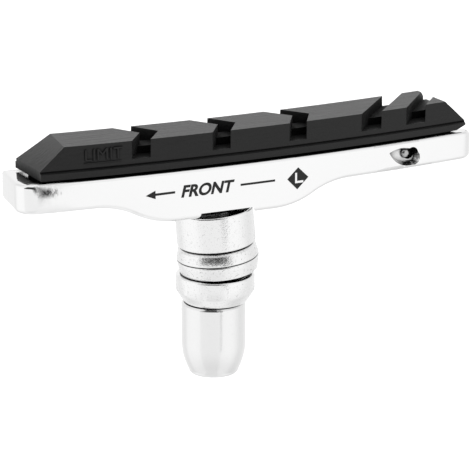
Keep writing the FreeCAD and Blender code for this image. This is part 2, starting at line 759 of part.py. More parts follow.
def make_barrel_nut():
    """Round nut with a raised face, a tapered, rounded end and a hexagon socket for the key."""
    outer, bore = "nut_diameter / 2", "stud_diameter / 2 + stud_clearance"
    end = "nut_end_diameter / 2"
    shoulder = f"({NUT_FACE} - nut_face_height)"
    foot = f"({NUT_FACE} - nut_length)"
    narrow = f"({outer} - {end})"
    taper = "(nut_length - nut_straight - nut_end_radius)"
    socket_floor = f"{foot} + hex_depth"
    body = turn_part(
        "barrel_nut",
        [
            (bore, NUT_FACE),
            ("nut_face_diameter / 2", NUT_FACE),
            ("nut_face_diameter / 2", shoulder),
            (f"{outer} - nut_chamfer", shoulder),
            (outer, f"{shoulder} - nut_chamfer"),
            (outer, f"{NUT_FACE} - nut_straight"),
            (end, f"{foot} + nut_end_radius"),
            (f"{end} - nut_end_radius", foot),
            ("0", foot),
            ("0", socket_floor),
            (bore, socket_floor),
        ],
        {
            5: (f"({taper} ^ 2 + {narrow} ^ 2) / (2 * {narrow})", "left"),
            6: ("nut_end_radius", "left"),
        },
    )
    before = body.Shape.Volume
    sketch = new_sketch(body, "XY_Plane", "hex_socket_plan")
    bind(sketch, AttachmentOffset__Base__z=socket_floor)
    corner = "(hex_size / sqrt(3))"
    draw_outline(
        sketch,
        [(f"{corner} * cos({60 * k})", f"{corner} * sin({60 * k})") for k in range(6)],
    )
    socket = feature(body, "Pocket", "hex_socket", sketch)
    socket.Type = "ThroughAll"
    check_cut(body, before)
    seat_on_stud(body)
    return body


def check_document(nodes):
    doc.recompute()
    for item in doc.Objects:
        if {"Invalid", "Error"} & set(item.State):
            raise RuntimeError(f"{item.Label} did not build: {item.State}")
    for node in nodes:
        if node.Shape.isNull() or not node.Shape.isValid() or len(node.Shape.Solids) != 1:
            raise RuntimeError(f"{node.Label} is not one valid solid")


def export(nodes):
    os.makedirs("parts", exist_ok=True)
    for node in nodes:
        node.Shape.exportStep(os.path.join("parts", f"{node.Label}.step"))
        print(f"{node.Label}: {node.Shape.Volume:.1f} cubic millimetres")


pieces = [
    make_holder(),
    make_insert(),
    make_retaining_pin(),
    make_stud(),
    make_cup_spacer(),
    make_dome_washer("upper_dome_washer", UPPER_BALL, "upper_dome_edge", up=True),
    make_dome_washer("lower_dome_washer", LOWER_BALL, "lower_dome_edge", up=False),
    make_cup_washer(),
    make_barrel_nut(),
]
check_document(pieces)
export(pieces)
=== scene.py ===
# %% [markdown]
# # A cartridge brake shoe for a bicycle rim
#
# A polished aluminium holder, curved to follow the wheel's rim, carries a grooved rubber insert.
# Below it hang a stud, a thick spacer, three washers with ball shaped seats and a barrel nut.
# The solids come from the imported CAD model. This script gives them their finishes, rounds the
# edges that catch the light, adds the fitting marks and sets up the studio.

# %% Load the solids
import math

import bmesh
import bpy
from mathutils import Matrix, Vector


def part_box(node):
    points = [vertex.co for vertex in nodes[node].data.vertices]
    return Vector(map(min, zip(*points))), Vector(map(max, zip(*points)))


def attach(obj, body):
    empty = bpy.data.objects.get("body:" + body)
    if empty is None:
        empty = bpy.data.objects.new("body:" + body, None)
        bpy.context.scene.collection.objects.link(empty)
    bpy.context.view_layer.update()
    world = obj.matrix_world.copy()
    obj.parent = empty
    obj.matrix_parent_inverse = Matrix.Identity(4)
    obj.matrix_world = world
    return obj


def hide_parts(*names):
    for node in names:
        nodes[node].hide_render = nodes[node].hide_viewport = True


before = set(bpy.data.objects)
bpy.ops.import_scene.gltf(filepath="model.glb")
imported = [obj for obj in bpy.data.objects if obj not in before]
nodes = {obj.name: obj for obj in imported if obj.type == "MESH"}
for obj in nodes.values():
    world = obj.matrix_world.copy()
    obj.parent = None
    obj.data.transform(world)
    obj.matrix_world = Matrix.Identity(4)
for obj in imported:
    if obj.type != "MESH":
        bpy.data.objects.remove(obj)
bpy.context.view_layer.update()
print("solids:", ", ".join(sorted(nodes)))

# %% [markdown]
# ## Where things are
#
# All lengths are in metres. The origin lies on the stud's axis where a brake arm is clamped, so
# heights are read from the solids' boxes. The shoe is bent about the wheel's axle, and its near
# side is an arc that the printed marks have to follow. The arc is worked out from the holder's
# box and the radius of the rim's braking track.

# %% Measure the shoe
MM = 0.001
RIM_RADIUS = 290 * MM
HOLDER_WIDTH = 10.3 * MM
BLOCK_WIDTH = 8.5 * MM
NEAR_RADIUS = RIM_RADIUS + HOLDER_WIDTH / 2

holder_low, holder_high = (Vector(corner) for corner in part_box("holder"))
rim_level = holder_high.z
arc_middle = (holder_low.x + holder_high.x) / 2
arc_centre = holder_low.y + NEAR_RADIUS
print(f"rim level {rim_level / MM:.2f} mm")
print(f"arc centre at {arc_middle / MM:.2f}, {arc_centre / MM:.2f} mm")

# %% [markdown]
# ## Finishes
#
# Each finish is a Principled shader with a little procedural detail in the piece's own
# coordinates, so that it keeps its place when the camera moves. Metal, rubber and ink are all
# neutral here, so a tone is one number from 0, black, to 1, white.

# %% Helpers for finishes
def grey(tone):
    """A neutral colour, opaque."""
    return (tone, tone, tone, 1)


def new_finish(name, tone, metallic, roughness, specular=0.5):
    """A material and its node tree with the plain values set on the shader's own sockets."""
    material = bpy.data.materials.new(name)
    material.use_nodes = True
    tree = material.node_tree
    shader = tree.nodes["Principled BSDF"]
    shader.inputs["Base Color"].default_value = grey(tone)
    shader.inputs["Metallic"].default_value = metallic
    shader.inputs["Roughness"].default_value = roughness
    shader.inputs["Specular IOR Level"].default_value = specular
    print("finish:", name)
    return material, tree, shader


def add_node(tree, kind, **sockets):
    """A new node with some of its inputs set; an underscore stands for a space in their names."""
    node = tree.nodes.new(kind)
    for socket, setting in sockets.items():
        node.inputs[socket.replace("_", " ")].default_value = setting
    return node


def math_node(tree, operation, first, second=None):
    """Output of a math node; each operand is a socket or a number."""
    node = tree.nodes.new("ShaderNodeMath")
    node.operation = operation
    for slot, operand in enumerate((first, second)):
        if operand is None:
            continue
        if isinstance(operand, (int, float)):
            node.inputs[slot].default_value = operand
        else:
            tree.links.new(operand, node.inputs[slot])
    return node.outputs[0]


def map_range(tree, value, low, high, to_low, to_high, smooth=False):
    """Output of a clamped map range node fed by a socket."""
    node = add_node(
        tree, "ShaderNodeMapRange", From_Min=low, From_Max=high, To_Min=to_low, To_Max=to_high
    )
    if smooth:
        node.interpolation_type = "SMOOTHSTEP"
    tree.links.new(value, node.inputs["Value"])
    return node.outputs["Result"]


# %% [markdown]
# Three kinds of detail are shared by the finishes: noise, which can be stretched along the shoe,
# a bump that turns noise into a slightly uneven surface, and painted shade in the seams. The
# shade is found with ambient occlusion, which tells how closed in a point is.

# %% Helpers for surface detail
SHADER_SAMPLES = 12


def noise_on_object(tree, scale, detail=4, roughness=0.6, stretch=None):
    """Noise in the piece's own coordinates; scale, times any stretch, counts waves per metre."""
    place = add_node(tree, "ShaderNodeTexCoord")
    noise = add_node(tree, "ShaderNodeTexNoise", Scale=scale, Detail=detail, Roughness=roughness)
    spot = place.outputs["Object"]
    if stretch:
        along = add_node(tree, "ShaderNodeMapping", Scale=stretch)
        tree.links.new(spot, along.inputs["Vector"])
        spot = along.outputs["Vector"]
    tree.links.new(spot, noise.inputs["Vector"])
    return noise.outputs["Fac"]


def bump_node(tree, height, distance):
    """A bump at full strength, as deep as distance, fed by a height socket."""
    bump = add_node(tree, "ShaderNodeBump", Strength=1.0, Distance=distance)
    tree.links.new(height, bump.inputs["Height"])
    return bump


def add_bump(tree, shader, height, distance):
    """A bump node that feeds the shader."""
    bump = bump_node(tree, height, distance)
    tree.links.new(bump.outputs["Normal"], shader.inputs["Normal"])
    return bump


def paint_seam_shade(tree, shader, tone, reach, dark=0.03, closed=0.30, opened=0.62):
    """Painted shade: the finish is painted dark where another surface comes close, where shade
    falls in seams and hollows.
    """
    hidden = add_node(tree, "ShaderNodeAmbientOcclusion", Distance=reach)
    hidden.samples = SHADER_SAMPLES
    share = map_range(tree, hidden.outputs["AO"], closed, opened, 0.0, 1.0, smooth=True)
    blend = tree.nodes.new("ShaderNodeMix")
    blend.data_type = "RGBA"
    blend.inputs["A"].default_value = grey(dark)
    tree.links.new(share, blend.inputs["Factor"])
    if isinstance(tone, float):
        blend.inputs["B"].default_value = grey(tone)
    else:
        tree.links.new(tone, blend.inputs["B"])
    tree.links.new(blend.outputs["Result"], shader.inputs["Base Color"])


# %% [markdown]
# The holder is an aluminium casting with a mirror polish. A polish leaves the surface very
# slightly wavy, which is why reflections in it wander, and it has rounded the front end's edges
# off most. The edges could be rounded in the mesh, but the Bevel node does it in the shading
# alone, so that the roundness can fade in and out along the shoe.

# %% Polished aluminium
POLISHED_TONE = 0.97
WORN_RADIUS = 2.6 * MM
WORN_STARTS = (-30.3 * MM, -28.4 * MM)
WORN_ENDS = (-27 * MM, -22 * MM)


def wear_front_edges(tree, bump):
    """Rounds the shading of the holder's edges between two fades along its length."""
    worn_edge = add_node(tree, "ShaderNodeBevel", Radius=WORN_RADIUS)
    worn_edge.samples = SHADER_SAMPLES
    place = add_node(tree, "ShaderNodeTexCoord")
    split = tree.nodes.new("ShaderNodeSeparateXYZ")
    tree.links.new(place.outputs["Object"], split.inputs["Vector"])
    fade_out = map_range(tree, split.outputs["X"], *WORN_ENDS, 1.0, 0.0, smooth=True)
    fade_in = map_range(tree, split.outputs["X"], *WORN_STARTS, 0.0, 1.0, smooth=True)
    worn = math_node(tree, "MULTIPLY", fade_out, fade_in)
    plain = tree.nodes.new("ShaderNodeNewGeometry")
    either = add_node(tree, "ShaderNodeMix")
    either.data_type = "VECTOR"
    tree.links.new(worn, either.inputs["Factor"])
    for name, normal in (("A", plain.outputs["Normal"]), ("B", worn_edge.outputs["Normal"])):
        slot = next(item for item in either.inputs if item.name == name and item.type == "VECTOR")
        tree.links.new(normal, slot)
    mixed = next(item for item in either.outputs if item.type == "VECTOR")
    tree.links.new(mixed, bump.inputs["Normal"])


polished, tree, shader = new_finish("polished_aluminium", POLISHED_TONE, 1.0, 0.07)
# Painted shade: the polish is painted darker where another surface comes close, as under the
# rubber's nose.
paint_seam_shade(tree, shader, POLISHED_TONE, reach=0.5 * MM)
waves = noise_on_object(tree, scale=520, detail=3)
waves_bump = add_bump(tree, shader, waves, distance=0.02 * MM)
wear_front_edges(tree, waves_bump)

# %% [markdown]
# The small recess at the rear and the channel under the rubber can't be reached by a polishing
# wheel, so they are left as they were cast and are duller. The recess also gets painted shade in
# its corners. The channel is painted near black, a painted shadow for the little light that gets
# past the rubber.

# %% Cast aluminium
CAST_TONE = 0.86

as_cast, tree, shader = new_finish("cast_aluminium", CAST_TONE, 1.0, 0.20)
# Painted shade: the recess is painted darker along its walls and in its corners, where shade
# falls.
paint_seam_shade(tree, shader, CAST_TONE, reach=1.2 * MM, dark=0.12, closed=0.42, opened=0.92)
dents = noise_on_object(tree, scale=1800, detail=3)
add_bump(tree, shader, dents, distance=0.05 * MM)
# Painted shadow: the channel's faces get a near black tone for the shade under the rubber.
channel_shadow_metal, _, _ = new_finish("channel_painted_shadow", 0.06, 1.0, 0.50)

# %% [markdown]
# The insert is moulded brake rubber: dark, dull and faintly grainy, with fine streaks along the
# shoe where the mould was milled. It is dullest deep in the grooves and is painted darkest there,
# as painted shade. The streaks are noise that is stretched along the shoe, laid under the grain.

# %% Brake rubber
RUBBER_TONE = 0.016
RUBBER_ROUGHNESS = 0.34
GROOVE_REACH = 3 * MM
GROOVE_CLOSED = 0.45
GROOVE_OPENED = 0.95
STREAK_WAVES = (160, 2200, 2200)

rubber, tree, shader = new_finish(
    "brake_rubber", RUBBER_TONE, 0.0, RUBBER_ROUGHNESS, specular=0.28
)
# Painted shade: deep in the grooves the rubber is painted near black, where shade falls.
paint_seam_shade(
    tree,
    shader,
    RUBBER_TONE,
    reach=GROOVE_REACH,
    dark=0.003,
    closed=GROOVE_CLOSED,
    opened=GROOVE_OPENED,
)
shaded = add_node(tree, "ShaderNodeAmbientOcclusion", Distance=GROOVE_REACH)
dulled = map_range(
    tree, shaded.outputs["AO"], GROOVE_CLOSED, GROOVE_OPENED, 1.0, RUBBER_ROUGHNESS
)
tree.links.new(dulled, shader.inputs["Roughness"])
grain = noise_on_object(tree, scale=7000, detail=3)
grain_bump = add_bump(tree, shader, grain, distance=0.03 * MM)
streaks = noise_on_object(tree, scale=1, detail=2, stretch=STREAK_WAVES)
streak_bump = bump_node(tree, streaks, distance=0.07 * MM)
tree.links.new(streak_bump.outputs["Normal"], grain_bump.inputs["Normal"])

# %% [markdown]
# The washers, the spacer and the nut are turned steel with bright zinc plating. The plating is
# satin with fine dark specks, because it settles on the turned surface unevenly. Its seams get
# painted shade. The two dome washers have darker specks and more painted shade in their seams
# than the rest, and the nut has the smoothest plating.

# %% Zinc plating
SPECK_WAVES = 3000
SPECK_BELOW = 0.32
PLAIN_ABOVE = 0.42
SEAM_REACH = 0.45 * MM


def zinc_finish(name, tone, speck_tone, roughness, speck_depth, closed=0.36, opened=0.68):
    """Zinc plating: tone is its plain brightness and speck_tone that of its specks."""
    material, tree, shader = new_finish(name, tone, 1.0, roughness)
    specks = noise_on_object(tree, scale=SPECK_WAVES, detail=4, roughness=0.7)
    shade = map_range(tree, specks, SPECK_BELOW, PLAIN_ABOVE, speck_tone, tone)
    # Painted shade: the plating is painted darker in the seams between the pieces, where shade
    # falls.
    paint_seam_shade(tree, shader, shade, reach=SEAM_REACH, closed=closed, opened=opened)
    add_bump(tree, shader, specks, distance=speck_depth)
    return material


zinc_rough = zinc_finish(
    "satin_zinc", 0.97, 0.70, roughness=0.12, speck_depth=0.03 * MM, closed=0.30, opened=0.58
)
# The dome washers get darker specks and more painted shade in their seams.
zinc_seam_shaded = zinc_finish(
    "seam_shaded_zinc", 0.96, 0.40, roughness=0.10, speck_depth=0.04 * MM, closed=0.58, opened=0.88
)
zinc_smooth = zinc_finish("bright_zinc", 0.93, 0.88, roughness=0.12, speck_depth=0.012 * MM)

# %% [markdown]
# The last three finishes cover small or nearly hidden places, the pin's end, the stud between
# the washers and the printed marks, so a plain shader is enough for them.

# %% Plain finishes
pin_steel, _, _ = new_finish("pin_steel", 0.50, 1.0, 0.22)
oiled_steel, _, _ = new_finish("oiled_steel", 0.10, 1.0, 0.35)
ink, _, _ = new_finish("printed_ink", 0.02, 0.0, 0.45, specular=0.3)

# %% [markdown]
# ## Dressing the solids
#
# A CAD node's mesh is a heap of loose triangles. A copy is merged into one skin and its flat
# faces are joined, so that it can be shaded smoothly and its sharp edges can be bevelled. The
# copy then stands in for the node.

# %% Helpers that dress a node
MERGE_DISTANCE = 1e-7
FLAT_ANGLE = math.radians(0.3)
SMOOTH_ANGLE = math.radians(32)


def new_object(name, data):
    """A new object in the scene, at the origin."""
    item = bpy.data.objects.new(name, data)
    bpy.context.scene.collection.objects.link(item)
    return item


def skin_of(node):
    """Merged copy of a node's mesh with flat faces joined and gentle edges shaded smooth."""
    mesh = nodes[node].data.copy()
    work = bmesh.new()
    work.from_mesh(mesh)
    bmesh.ops.remove_doubles(work, verts=work.verts, dist=MERGE_DISTANCE)
    bmesh.ops.dissolve_limit(work, angle_limit=FLAT_ANGLE, verts=work.verts, edges=work.edges)
    for face in work.faces:
        face.smooth = True
    for edge in work.edges:
        edge.smooth = edge.calc_face_angle(0) < SMOOTH_ANGLE
    work.to_mesh(mesh)
    work.free()
    mesh.materials.clear()
    return new_object(f"{node}_skin", mesh)


def dress(node, finish, bevel=0.0, segments=2):
    """The skin of a node with its finish and, where bevel isn't 0, rounded sharp edges."""
    piece = skin_of(node)
    piece.data.materials.append(finish)
    if bevel:
        rounding = piece.modifiers.new("edge_rounding", "BEVEL")
        rounding.width = bevel
        rounding.segments = segments
        rounding.limit_method = "ANGLE"
        rounding.angle_limit = SMOOTH_ANGLE
        rounding.use_clamp_overlap = True
        rounding.harden_normals = True
    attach(piece, "root")
    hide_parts(node)
    return piece


# %% Dress every node
LOOKS = {
    "holder": {"finish": polished},
    "insert": {"finish": rubber, "bevel": 0.18 * MM, "segments": 3},
    "retaining_pin": {"finish": pin_steel, "bevel": 0.15 * MM, "segments": 3},
    "stud": {"finish": oiled_steel},
    "cup_spacer": {"finish": zinc_rough},
    "upper_dome_washer": {"finish": zinc_seam_shaded},
    "lower_dome_washer": {"finish": zinc_seam_shaded},
    "cup_washer": {"finish": zinc_rough},
    "barrel_nut": {"finish": zinc_smooth, "bevel": 0.6 * MM, "segments": 5},
}

dressed = {node: dress(node, **look) for node, look in LOOKS.items()}
print("dressed:", len(dressed), "pieces")

# %% [markdown]
# ## The holder's unpolished faces and its painted shadow
#
# One skin can carry several finishes, since each face holds the number of its material. The faces
# of the pin's recess and of the channel are found by where they lie: how far from the arc's
# centre, how far along the shoe and how far below the rim.

# %% Find the unpolished faces
RECESS_SKIN = 0.05 * MM
RECESS_DEPTH = 2.2 * MM
RECESS_HALF_LENGTH = 4.5 * MM
RECESS_HALF_HEIGHT = 3.2 * MM
CHANNEL_SKIN = 0.03 * MM
CHANNEL_DEPTH = 3.2 * MM
END_WALL = 1.2 * MM
CHANNEL_HALF_WIDTH = 4.4 * MM
WALL_HALF_WIDTH = 4.9 * MM

pin_low, pin_high = (Vector(corner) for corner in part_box("retaining_pin"))
pin_place = (pin_low + pin_high) / 2


def in_recess(face):
    """True for a face near the pin that lies clearly inside the near side's arc."""
    x, y, z = face.center
    inwards = NEAR_RADIUS - math.hypot(x - arc_middle, y - arc_centre)
    inside = RECESS_SKIN < inwards < RECESS_DEPTH
    along = abs(x - pin_place.x) < RECESS_HALF_LENGTH
    near_pin = along and abs(z - pin_place.z) < RECESS_HALF_HEIGHT
    return inside and near_pin and y < pin_place.y


def in_channel(face):
    """True for a face below the rim, between the ends, on the channel's floor or its walls."""
    x, y, z = face.center
    below_rim = CHANNEL_SKIN < rim_level - z < CHANNEL_DEPTH
    between_ends = holder_low.x + END_WALL < x < holder_high.x - END_WALL
    aside = math.hypot(x - arc_middle, y - arc_centre) - RIM_RADIUS
    outwards = (x - arc_middle) * face.normal.x + (y - arc_centre) * face.normal.y
    turned_in = outwards * aside < 0 and abs(aside) < WALL_HALF_WIDTH
    return below_rim and between_ends and (turned_in or abs(aside) < CHANNEL_HALF_WIDTH)


# %% Give them their finishes
CAST_INDEX = 1
CHANNEL_INDEX = 2

holder_mesh = dressed["holder"].data
holder_mesh.materials.append(as_cast)
holder_mesh.materials.append(channel_shadow_metal)
recess_count = 0
channel_count = 0
for face in holder_mesh.polygons:
    if in_recess(face):
        face.material_index = CAST_INDEX
        recess_count += 1
    elif in_channel(face):
        face.material_index = CHANNEL_INDEX
        channel_count += 1
print("unpolished faces:", recess_count, "in the recess,", channel_count, "in the channel")

# %% [markdown]
# ## Marks printed on the near side
#
# The holder's near side carries an arrow, the word FRONT, a rule and a letter in a diamond. They
# are the plain fitting marks that tell which way round the shoe goes. They are drawn flat, with x
# along the shoe and z up, and a node tree then wraps them round the arc of the side. The arc is
# an input of the tree, so the same tree serves the holder and the rubber.

# %% A node tree that wraps flat marks round the shoe
def wrap_tree():
    """Bends a flat drawing in the xz plane on to the arc of the shoe's near side."""
    tree = bpy.data.node_groups.new("wrap_round_the_rim", "GeometryNodeTree")
    face = tree.interface
    face.new_socket("Geometry", in_out="INPUT", socket_type="NodeSocketGeometry")
    for name in ("Arc Radius", "Arc Middle", "Arc Centre"):
        face.new_socket(name, in_out="INPUT", socket_type="NodeSocketFloat")
    face.new_socket("Material", in_out="INPUT", socket_type="NodeSocketMaterial")
    face.new_socket("Geometry", in_out="OUTPUT", socket_type="NodeSocketGeometry")
    source = tree.nodes.new("NodeGroupInput")
    result = tree.nodes.new("NodeGroupOutput")
    link = tree.links.new

    position = tree.nodes.new("GeometryNodeInputPosition")
    split = tree.nodes.new("ShaderNodeSeparateXYZ")
    link(position.outputs["Position"], split.inputs["Vector"])
    away = math_node(tree, "SUBTRACT", split.outputs["X"], source.outputs["Arc Middle"])
    radius = math_node(tree, "SUBTRACT", source.outputs["Arc Radius"], split.outputs["Y"])
    radius_squared = math_node(tree, "MULTIPLY", radius, radius)
    away_squared = math_node(tree, "MULTIPLY", away, away)
    reach_squared = math_node(tree, "SUBTRACT", radius_squared, away_squared)
    reach = math_node(tree, "SQRT", reach_squared)
    depth = math_node(tree, "SUBTRACT", source.outputs["Arc Centre"], reach)
    join = tree.nodes.new("ShaderNodeCombineXYZ")
    link(split.outputs["X"], join.inputs["X"])
    link(depth, join.inputs["Y"])
    link(split.outputs["Z"], join.inputs["Z"])

    place = tree.nodes.new("GeometryNodeSetPosition")
    link(source.outputs["Geometry"], place.inputs["Geometry"])
    link(join.outputs["Vector"], place.inputs["Position"])
    real = tree.nodes.new("GeometryNodeRealizeInstances")
    link(place.outputs["Geometry"], real.inputs["Geometry"])
    paint = tree.nodes.new("GeometryNodeSetMaterial")
    link(real.outputs["Geometry"], paint.inputs["Geometry"])
    link(source.outputs["Material"], paint.inputs["Material"])
    link(paint.outputs["Geometry"], result.inputs["Geometry"])
    return tree


wrap = wrap_tree()
print("node tree:", wrap.name, "with", len(wrap.nodes), "nodes")

# %% Helpers that bend a mark
def plain_mesh(item):
    """The mesh that an object's text or modifiers come out as."""
    bpy.context.view_layer.update()
    graph = bpy.context.evaluated_depsgraph_get()
    return bpy.data.meshes.new_from_object(item.evaluated_get(graph))


def wrap_on_side(name, flat, radius, finish):
    """A piece made from a flat drawing that the wrap tree has bent on to an arc."""
    piece = new_object(name, flat)
    modifier = piece.modifiers.new("wrap", "NODES")
    modifier.node_group = wrap
    sockets = {item.name: item.identifier for item in wrap.interface.items_tree}
    modifier[sockets["Arc Radius"]] = radius
    modifier[sockets["Arc Middle"]] = arc_middle
    modifier[sockets["Arc Centre"]] = arc_centre
    modifier[sockets["Material"]] = finish
    bent = plain_mesh(piece)
    piece.modifiers.clear()
    piece.data = bent
    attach(piece, "root")
    return piece


# %% [markdown]
# A flat mark is a thin closed slab, so that it prints and exports like any other piece. Its
# outline is cut into short steps first, because only points can be bent. Its back is sunk a
# little into the piece below, so that no gap shows. Letters may start with any depth, because
# they are fitted to their box and to the mark's thickness afterwards.

# %% Helpers that draw a mark
MARK_THICKNESS = 0.02 * MM
MARK_SINK = 0.005 * MM
OUTLINE_STEP = 0.4 * MM
UNFITTED_DEPTH = 0.5


def slab_mesh(name, outlines, thickness):
    """Closed slab from outlines of (x, z) points in millimetres from the stud and the rim."""
    work = bmesh.new()
    for outline in outlines:
        corners = [work.verts.new((x * MM, MARK_SINK, rim_level + z * MM)) for x, z in outline]
        work.faces.new(corners)
    long_edges = [edge for edge in work.edges if edge.calc_length() > OUTLINE_STEP]
    for edge in long_edges:
        steps = int(edge.calc_length() / OUTLINE_STEP)
        bmesh.ops.subdivide_edges(work, edges=[edge], cuts=steps)
    bmesh.ops.triangulate(work, faces=work.faces)
    front = bmesh.ops.extrude_face_region(work, geom=work.faces[:])
    moved = [item for item in front["geom"] if isinstance(item, bmesh.types.BMVert)]
    bmesh.ops.translate(work, verts=moved, vec=(0, -thickness - MARK_SINK, 0))
    bmesh.ops.recalc_face_normals(work, faces=work.faces)
    mesh = bpy.data.meshes.new(name)
    work.to_mesh(mesh)
    work.free()
    return mesh


def box_outline(left, right, foot, top):
    """Corners of an upright rectangle."""
    return [(left, foot), (right, foot), (right, top), (left, top)]


def word_mesh(name, word, left, foot, height, width, thickness, slant=0.0, weight=0.0):
    """Closed slab letters in Blender's own plain typeface, fitted to a box in millimetres."""
    curve = bpy.data.curves.new(name, "FONT")
    curve.body = word
    curve.extrude = UNFITTED_DEPTH
    curve.offset = weight
    writer = new_object(name, curve)
    mesh = plain_mesh(writer)
    bpy.data.objects.remove(writer)
    low_x = min(v.co.x for v in mesh.vertices)
    high_x = max(v.co.x for v in mesh.vertices)
    low_y = min(v.co.y for v in mesh.vertices)
    high_y = max(v.co.y for v in mesh.vertices)
    straight = width - slant * height
    for v in mesh.vertices:
        up = (v.co.y - low_y) / (high_y - low_y) * height
        along = (v.co.x - low_x) / (high_x - low_x) * straight + up * slant
        out = MARK_SINK if v.co.z < 0 else -thickness
        v.co = ((left + along) * MM, out, rim_level + (foot + up) * MM)
    work = bmesh.new()
    work.from_mesh(mesh)
    bmesh.ops.remove_doubles(work, verts=work.verts, dist=MERGE_DISTANCE)
    bmesh.ops.recalc_face_normals(work, faces=work.faces)
    work.to_mesh(mesh)
    work.free()
    return mesh


# %% Print the marks
arrow_head = [(-13.04, -3.12), (-11.5, -3.74), (-11.52, -2.46)]
arrow_shaft = [(-11.6, -3.25), (-8.46, -3.20), (-8.46, -2.86), (-11.6, -2.90)]
arrow = slab_mesh("direction_arrow", [arrow_head, arrow_shaft], MARK_THICKNESS)
rule = slab_mesh("rule", [box_outline(1.99, 7.67, -3.26, -2.94)], MARK_THICKNESS)
diamond_outline = [(9.72, -3.22), (11.4, -4.93), (13.28, -3.22), (11.55, -1.56)]
diamond = slab_mesh("diamond", [diamond_outline], MARK_THICKNESS)
front_word = word_mesh(
    "front_word",
    "FRONT",
    left=-7.52,
    foot=-4.0,
    height=1.88,
    width=8.55,
    thickness=MARK_THICKNESS,
    slant=0.24,
    weight=0.036,
)
for mark in (arrow, rule, diamond, front_word):
    printed = wrap_on_side(mark.name, mark, NEAR_RADIUS, ink)
    print("printed:", printed.name)

# %% [markdown]
# The letter inside the diamond is bare metal. The diamond could be cut out round it, but a
# slightly thicker slab of polished metal laid over the ink looks the same and is simpler.

# %% The letter in the diamond
LETTER_THICKNESS = 1.8 * MARK_THICKNESS

letter_outline = [
    (11.02, -2.35),
    (11.02, -3.95),
    (12.4, -3.95),
    (12.4, -3.62),
    (11.34, -3.62),
    (11.34, -2.35),
]
bare_letter = slab_mesh("diamond_letter", [letter_outline], LETTER_THICKNESS)
letter = wrap_on_side("diamond_letter", bare_letter, NEAR_RADIUS, polished)
print("laid over the ink:", letter.name)

# %% [markdown]
# ## The raised wear mark
#
# The front block's near side carries the word LIMIT over a raised line: rubber worn down to that
# line is due for changing. The letters are moulded, so they have the rubber's own finish.

# %% Mould the wear mark
RELIEF = 0.2 * MM
BLOCK_SINK = 0.06 * MM
BLOCK_RADIUS = RIM_RADIUS + BLOCK_WIDTH / 2 - BLOCK_SINK

limit_word = word_mesh(
    "limit_word", "LIMIT", left=-21.75, foot=2.72, height=1.68, width=5.65, thickness=RELIEF
)
limit_line = slab_mesh("limit_line", [box_outline(-21.9, -16.3, 2.3, 2.42)], RELIEF)
for mark in (limit_word, limit_line):
    moulded = wrap_on_side(mark.name, mark, BLOCK_RADIUS, rubber)
    print("moulded:", moulded.name)

# %% [markdown]
# ## Camera
#
# The camera looks at the near side from a little towards the front end and a little above. Its
# place, turn and lens were fitted to the photograph, in which the shoe fills the frame from a
# short distance.

# %% Camera
AZIMUTH = math.radians(26.237)
ELEVATION = math.radians(16.513)
DISTANCE = 354.913 * MM
AIM_RIGHT = 3.249 * MM
AIM_UP = -11.412 * MM
SENSOR_WIDTH = 36
FOCAL_LENGTH = 183.52
NEAREST_SEEN = 0.01

backward = Vector(
    (
        -math.sin(AZIMUTH) * math.cos(ELEVATION),
        -math.cos(AZIMUTH) * math.cos(ELEVATION),
        math.sin(ELEVATION),
    )
)
right = Vector((math.cos(AZIMUTH), -math.sin(AZIMUTH), 0))
up = backward.cross(right)
camera_data = bpy.data.cameras.new("camera")
camera_data.sensor_width = SENSOR_WIDTH
camera_data.lens = FOCAL_LENGTH
camera_data.clip_start = NEAREST_SEEN
camera = new_object("camera", camera_data)
stand = backward * DISTANCE + right * AIM_RIGHT + up * AIM_UP + Vector((0, 0, rim_level))
turn = Matrix((right, up, backward)).transposed().to_4x4()
camera.matrix_world = Matrix.Translation(stand) @ turn
bpy.context.scene.camera = camera
bpy.context.scene.view_settings.view_transform = "Standard"
print(f"camera at {tuple(round(c / MM, 1) for c in stand)} mm")

# %% [markdown]
# ## Studio
#
# The world is white to the camera and dimmer as a light. Polished metal shows whatever stands
# round it, and with nothing but white round it, it would look like paper. So for reflections the
# world is a studio seen from the shoe: white paper with some greyer stretches, and four dark
# cards at the front, which draw the dark lines along the metal's edges. All of it is fixed in
# the world, and places in it are given by two angles in degrees: across, from the middle of the
# photograph's view, and up, from level.

# %% Directions in the studio
world = bpy.data.worlds.new("studio")
bpy.context.scene.world = world
world.use_nodes = True
studio = world.node_tree
background = studio.nodes["Background"]
background.inputs["Color"].default_value = grey(1)

direction = add_node(studio, "ShaderNodeTexCoord")
facing = add_node(studio, "ShaderNodeMapping", Rotation=(0, 0, AZIMUTH))
studio.links.new(direction.outputs["Generated"], facing.inputs["Vector"])
split = studio.nodes.new("ShaderNodeSeparateXYZ")
studio.links.new(facing.outputs["Vector"], split.inputs["Vector"])
towards = math_node(studio, "MULTIPLY", split.outputs["Y"], -1.0)
across_angle = math_node(studio, "ARCTAN2", split.outputs["X"], towards)
up_angle = math_node(studio, "ARCSINE", split.outputs["Z"])
print("studio turned by", round(math.degrees(AZIMUTH), 1), "degrees")

# %% [markdown]
# The paper's brightness changes slowly with both angles. A colour ramp holds each change as a
# few stops, and the two ramps are multiplied.

# %% White paper
PAPER_ACROSS = [
    (-180, 0.98),
    (-140, 0.86),
    (-122, 0.82),
    (-105, 1.0),
    (-52, 1.0),
    (-44, 0.88),
    (22, 0.88),
    (30, 0.98),
    (70, 1.0),
    (92, 0.90),
    (110, 0.80),
    (140, 0.84),
    (180, 0.98),
]
PAPER_UP = [
    (-90, 0.98),
    (-74, 0.95),
    (-56, 0.83),
    (-38, 0.96),
    (-22, 1.0),
    (18, 1.0),
    (40, 0.84),
    (60, 0.92),
    (90, 1.0),
]


